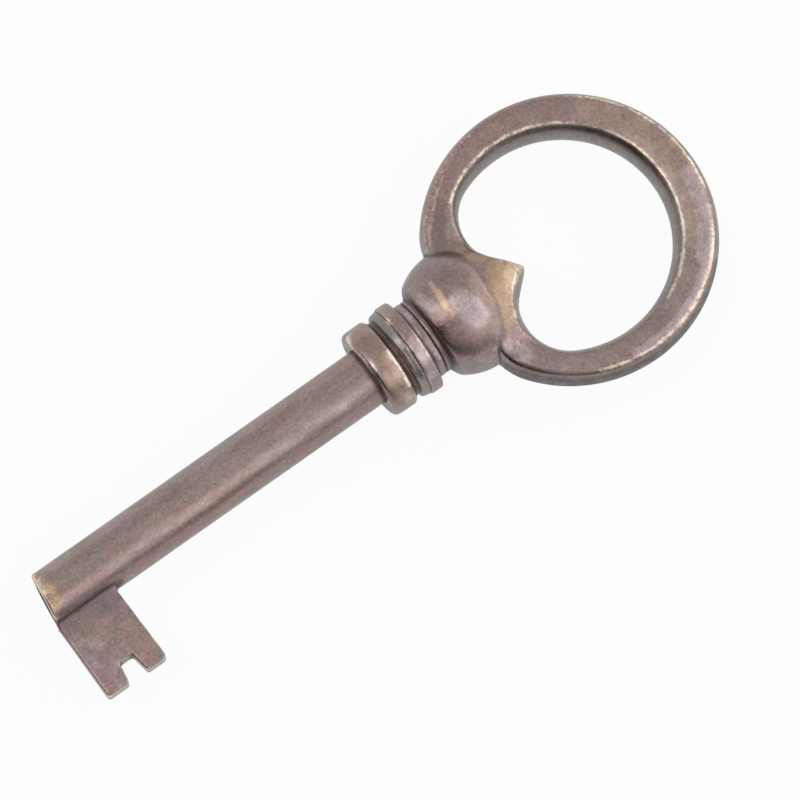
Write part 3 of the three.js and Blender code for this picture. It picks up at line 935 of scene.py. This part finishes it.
def make_patina(name, base, cool, stretch, edge_wear, speck):
    """Dark patina over brass, with grime and painted shade in the hollows, painted highlights and
    reflections, and bare metal where it is rubbed.
    """
    graph = Graph(name)
    grained = graph.place(stretch)
    plain = graph.place()
    other = graph.place(stretch, (13.7, 5.1, 9.3))
    broad = graph.noise(other, BROAD_SIZE, 2.0)
    cloud = graph.noise(grained, CLOUD_SIZE, 4.0, 0.65)
    bloom = graph.noise(other, BLOOM_SIZE, 4.0, 0.7)
    patch = graph.noise(other, PATCH_SIZE)
    hue = graph.noise(graph.place((0.7, 1, 1), (4.4, 8.8, 2.2)), HUE_SIZE, 4.0, 0.72)
    grain = graph.noise(plain, GRAIN_SIZE, 3.0, 0.75)
    fine = graph.noise(plain, FINE_SIZE, 2.0)

    # Tones of the patina: a noise, where it starts and where it is full, strength and colour
    tone = base
    for noise, start, full, strength, colour in (
        (cloud, 0.40, 0.62, 1.0, cool),
        (broad, 0.46, 0.62, 0.75, RED),
        (bloom, 0.52, 0.66, 0.5, GREY_GREEN),
        (hue, 0.52, 0.68, 0.8, ROSE),
        (hue, 0.48, 0.32, 0.9, OLIVE),
    ):
        tone = graph.mix(graph.ramp(noise, start, full, 0.0, strength), tone, colour)
    for layer, raggedness, strength, colour in TINTS:
        tone = graph.mix(graph.scaled(graph.ragged(layer, patch, raggedness), strength), tone, colour)
    # The cool layer is a cooler grey painted as a reflection
    cool_reflection_strength = 0.8
    tone = graph.mix(graph.scaled(graph.layer("cool"), cool_reflection_strength), tone, COOL_REFLECTION)
    mottle = graph.ramp(grain, 0.25, 0.75, 0.80, 1.20)
    mottle = graph.math("MULTIPLY", mottle, graph.ramp(fine, 0.2, 0.8, 0.88, 1.12))
    mottle = graph.math("MULTIPLY", mottle, graph.ramp(patch, 0.3, 0.7, 0.93, 1.07))
    tone = graph.node("VectorMath", {0: tone, "Scale": mottle}, operation="SCALE")

    # Grime and painted shade in the hollows
    grime_and_shade_raggedness, grime_and_shade_strength, hollow_strength = 0.9, 0.88, 0.8
    bend = graph.layer("bend")
    hollow = graph.ramp(bend, -0.05, -0.8, 0.0, hollow_strength)
    grime_and_shade = graph.math("MAXIMUM", graph.ragged("grime_and_shade", patch, grime_and_shade_raggedness), hollow)
    tone = graph.mix(graph.scaled(grime_and_shade, grime_and_shade_strength), tone, SLATE)

    # Wear on edges and rubbed places, and a painted highlight in cream along rubbed edges
    patch_share, grain_share, rub_breakup = 1.5, 1.8, 0.9
    edge_strength, bare_strength, glint_strength = 0.75, 0.9, 0.85
    broken = graph.math("ADD", graph.centred(patch, patch_share), graph.centred(grain, grain_share))
    sharp = graph.math("ADD", graph.scaled(bend, edge_wear), broken)
    tone = graph.mix(graph.ramp(sharp, 0.45, 1.1, 0.0, edge_strength), tone, COPPER)
    rub = graph.layer("rub")
    bare = graph.ramp(graph.math("ADD", rub, graph.scaled(broken, rub_breakup)), 0.2, 1.0)
    bare = graph.math("MULTIPLY", bare, graph.ramp(rub, 0.05, 0.3))
    tone = graph.mix(graph.scaled(bare, bare_strength), tone, GOLD)
    rubbed_edge_glint = graph.math("MULTIPLY", bare, graph.ramp(bend, 0.15, 0.6))
    tone = graph.mix(graph.scaled(rubbed_edge_glint, glint_strength), tone, CREAM_GLINT)

    # Fine copper flecks, dark pits and hair scratches
    pit_strength, scratch_strength = 0.4, 0.28
    cells = {"Vector": plain, "Scale": FLECKS_PER_MM}
    dot = graph.ramp(graph.node("TexVoronoi", cells, output="Distance"), 0.15, 0.05)
    chance = graph.node("SeparateXYZ", {0: graph.node("TexVoronoi", cells, output="Color")})
    fleck = graph.math("MULTIPLY", dot, graph.ramp(chance, 0.80, 0.82))
    pit = graph.math("MULTIPLY", dot, graph.ramp(chance, 0.12, 0.10))
    tone = graph.mix(graph.scaled(fleck, speck), tone, COPPER)
    tone = graph.mix(graph.scaled(pit, pit_strength), tone, SLATE)
    line = graph.noise(graph.place((0.1, 1, 1), (3.1, 0, 7.7)), SCRATCH_SIZE, 1.0, 0.5)
    scratch = graph.math("MULTIPLY", graph.ramp(line, 0.66, 0.74), graph.ramp(broad, 0.40, 0.55))
    tone = graph.mix(graph.scaled(scratch, scratch_strength), tone, COPPER)
    graph.plug(graph.shader.inputs["Base Color"], tone)

    # Roughness and relief
    grime_and_shade_roughness = 0.16
    rough = graph.ramp(cloud, 0.3, 0.7, 0.27, 0.40)
    rough = graph.math("ADD", rough, graph.scaled(grime_and_shade, grime_and_shade_roughness))
    rough = graph.math("ADD", rough, graph.ramp(grain, 0.3, 0.7, -0.03, 0.03))
    graph.plug(graph.shader.inputs["Roughness"], rough)
    graph.shader.inputs["Metallic"].default_value = 1.0
    graph.shader.inputs["Specular Tint"].default_value = EDGE_REFLECTION
    cloud_height, grain_height, pit_depth, scratch_depth = 1.4, 0.35, 0.6, 0.25
    height = graph.math("ADD", graph.scaled(cloud, cloud_height), graph.scaled(grain, grain_height))
    height = graph.math("SUBTRACT", height, graph.scaled(pit, pit_depth))
    height = graph.math("SUBTRACT", height, graph.scaled(scratch, scratch_depth))
    relief = graph.node("Bump", {"Height": height, "Strength": 1.0, "Distance": RELIEF_DEPTH * MM})
    graph.plug(graph.shader.inputs["Normal"], relief)
    return graph.material


MATERIALS = {
    "bow_casting": make_patina(
        "cast_patina", base=(0.325, 0.242, 0.218), cool=(0.345, 0.268, 0.262),
        stretch=(1, 1, 1), edge_wear=0.5, speck=0.7,
    ),
    "turned_rings": make_patina(
        "turned_patina", base=(0.34, 0.262, 0.235), cool=(0.355, 0.28, 0.268),
        stretch=(1, 0.8, 0.8), edge_wear=0.28, speck=0.6,
    ),
    "barrel_metal": make_patina(
        "barrel_patina", base=(0.35, 0.262, 0.245), cool=(0.365, 0.285, 0.285),
        stretch=(0.33, 1, 1), edge_wear=0.7, speck=0.5,
    ),
    "bit_metal": make_patina(
        "bit_patina", base=(0.305, 0.235, 0.226), cool=(0.32, 0.255, 0.26),
        stretch=(1, 0.6, 1), edge_wear=0.22, speck=0.9,
    ),
}

bow = make_bow()
tang = turned_mesh("bow_tang", tang_profile(), segments=32)
knop = make_knop()
ring = turned_mesh("neck_bead", ring_profile(), segments=200)
collar = turned_mesh("collar", collar_profile(), segments=200)
barrel = turned_mesh("barrel", barrel_profile(), segments=144, reshape=worn_tip)
bit = make_bit()
for piece, node, finish, marks, grime_and_shade in (
    (bow, "bow", "bow_casting", BOW_MARKS, bow_grime_and_shade),
    (tang, "bow", "bow_casting", [], hollow_grime_and_shade),
    (knop, "ball_knop", "bow_casting", BOW_MARKS, hollow_grime_and_shade),
    (ring, "neck_ring", "turned_rings", RING_MARKS, hollow_grime_and_shade),
    (collar, "shoulder_collar", "turned_rings", RING_MARKS, hollow_grime_and_shade),
    (barrel, "shank", "barrel_metal", BARREL_MARKS, barrel_grime_and_shade),
    (bit, "bit", "bit_metal", BIT_MARKS, bit_grime_and_shade),
):
    paint(piece, marks, grime_and_shade)
    piece.data.materials.append(MATERIALS[finish])
    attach(piece, "root")
    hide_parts(node)
    print(piece.name, len(piece.data.vertices), len(piece.data.polygons))


# Floor: white to the camera, dimmer in reflections, and it keeps the key's shadow
FLOOR_HALF_SIDE = 3.0
FLOOR_GREY = 0.85
FLOOR_ROUGHNESS = 0.8
FLOOR_GLOW_SEEN = 0.94
FLOOR_GLOW_IN_GLOSS = 0.55


def make_floor():
    half = FLOOR_HALF_SIDE
    mesh = bpy.data.meshes.new("floor")
    corners = [(-half, -half, 0), (half, -half, 0), (half, half, 0), (-half, half, 0)]
    mesh.from_pydata(corners, [], [(0, 1, 2, 3)])
    floor = bpy.data.objects.new("floor", mesh)
    bpy.context.scene.collection.objects.link(floor)
    material = bpy.data.materials.new("floor_white")
    material.use_nodes = True
    nodes = material.node_tree.nodes
    links = material.node_tree.links
    shader = nodes["Principled BSDF"]
    shader.inputs["Base Color"].default_value = (FLOOR_GREY, FLOOR_GREY, FLOOR_GREY, 1)
    shader.inputs["Roughness"].default_value = FLOOR_ROUGHNESS
    shader.inputs["Specular IOR Level"].default_value = 0.0
    glow = nodes.new("ShaderNodeEmission")
    rays = nodes.new("ShaderNodeLightPath")
    share = nodes.new("ShaderNodeMath")
    share.operation = "MULTIPLY"
    share.inputs[1].default_value = FLOOR_GLOW_IN_GLOSS
    links.new(rays.outputs["Is Glossy Ray"], share.inputs[0])
    seen = nodes.new("ShaderNodeMath")
    seen.operation = "MULTIPLY_ADD"
    seen.inputs[1].default_value = FLOOR_GLOW_SEEN
    links.new(rays.outputs["Is Camera Ray"], seen.inputs[0])
    links.new(share.outputs[0], seen.inputs[2])
    mix = nodes.new("ShaderNodeMixShader")
    links.new(seen.outputs[0], mix.inputs[0])
    links.new(shader.outputs[0], mix.inputs[1])
    links.new(glow.outputs[0], mix.inputs[2])
    links.new(mix.outputs[0], nodes["Material Output"].inputs["Surface"])
    floor.data.materials.append(material)


def sky_direction(azimuth, elevation):
    """A direction from its angle round from +X towards +Y, and its height, in degrees."""
    turn, rise = math.radians(azimuth), math.radians(elevation)
    return Vector((math.cos(rise) * math.cos(turn), math.cos(rise) * math.sin(turn), math.sin(rise)))


# Room light: bright along the horizon, dimmer above it, with soft patches of more or less light.
# Each patch: azimuth, elevation and half width in degrees, and strength
LIGHT_PATCHES = (
    (325, 5, 56, 0.8),
    (150, 64, 14, 1.8),
    (248, 40, 26, 1.3),
    (225, 0, 60, -1.5),
)
WHITE = (1, 1, 1, 1)
PATCH_CORE = 0.6
PATCH_EDGE = 1.4
ROOM_TONE = 0.68
HORIZON_LOW = 0.10
HORIZON_HIGH = 0.24


def make_world():
    world = bpy.data.worlds.new("world")
    bpy.context.scene.world = world
    world.use_nodes = True
    nodes = world.node_tree.nodes
    links = world.node_tree.links
    background = nodes["Background"]
    background.inputs["Color"].default_value = WHITE
    coordinates = nodes.new("ShaderNodeTexCoord")
    split = nodes.new("ShaderNodeSeparateXYZ")
    links.new(coordinates.outputs["Generated"], split.inputs[0])
    horizon = nodes.new("ShaderNodeMapRange")
    horizon.inputs["From Min"].default_value = HORIZON_LOW
    horizon.inputs["From Max"].default_value = HORIZON_HIGH
    horizon.inputs["To Min"].default_value = 1.0
    horizon.inputs["To Max"].default_value = ROOM_TONE
    horizon.interpolation_type = "SMOOTHSTEP"
    links.new(split.outputs["Z"], horizon.inputs["Value"])
    total = horizon.outputs["Result"]
    for azimuth, elevation, half_width, strength in LIGHT_PATCHES:
        dot = nodes.new("ShaderNodeVectorMath")
        dot.operation = "DOT_PRODUCT"
        dot.inputs[1].default_value = sky_direction(azimuth, elevation)
        links.new(coordinates.outputs["Generated"], dot.inputs[0])
        patch = nodes.new("ShaderNodeMapRange")
        patch.interpolation_type = "SMOOTHSTEP"
        patch.inputs["From Min"].default_value = math.cos(math.radians(half_width * PATCH_EDGE))
        patch.inputs["From Max"].default_value = math.cos(math.radians(half_width * PATCH_CORE))
        patch.inputs["To Min"].default_value = 0.0
        patch.inputs["To Max"].default_value = strength
        links.new(dot.outputs["Value"], patch.inputs["Value"])
        add = nodes.new("ShaderNodeMath")
        add.operation = "ADD"
        links.new(total, add.inputs[0])
        links.new(patch.outputs["Result"], add.inputs[1])
        total = add.outputs[0]
    bright = nodes.new("ShaderNodeMath")
    bright.operation = "MAXIMUM"
    bright.inputs[1].default_value = 0.0
    links.new(total, bright.inputs[0])
    links.new(bright.outputs[0], background.inputs["Strength"])


make_floor()
make_world()
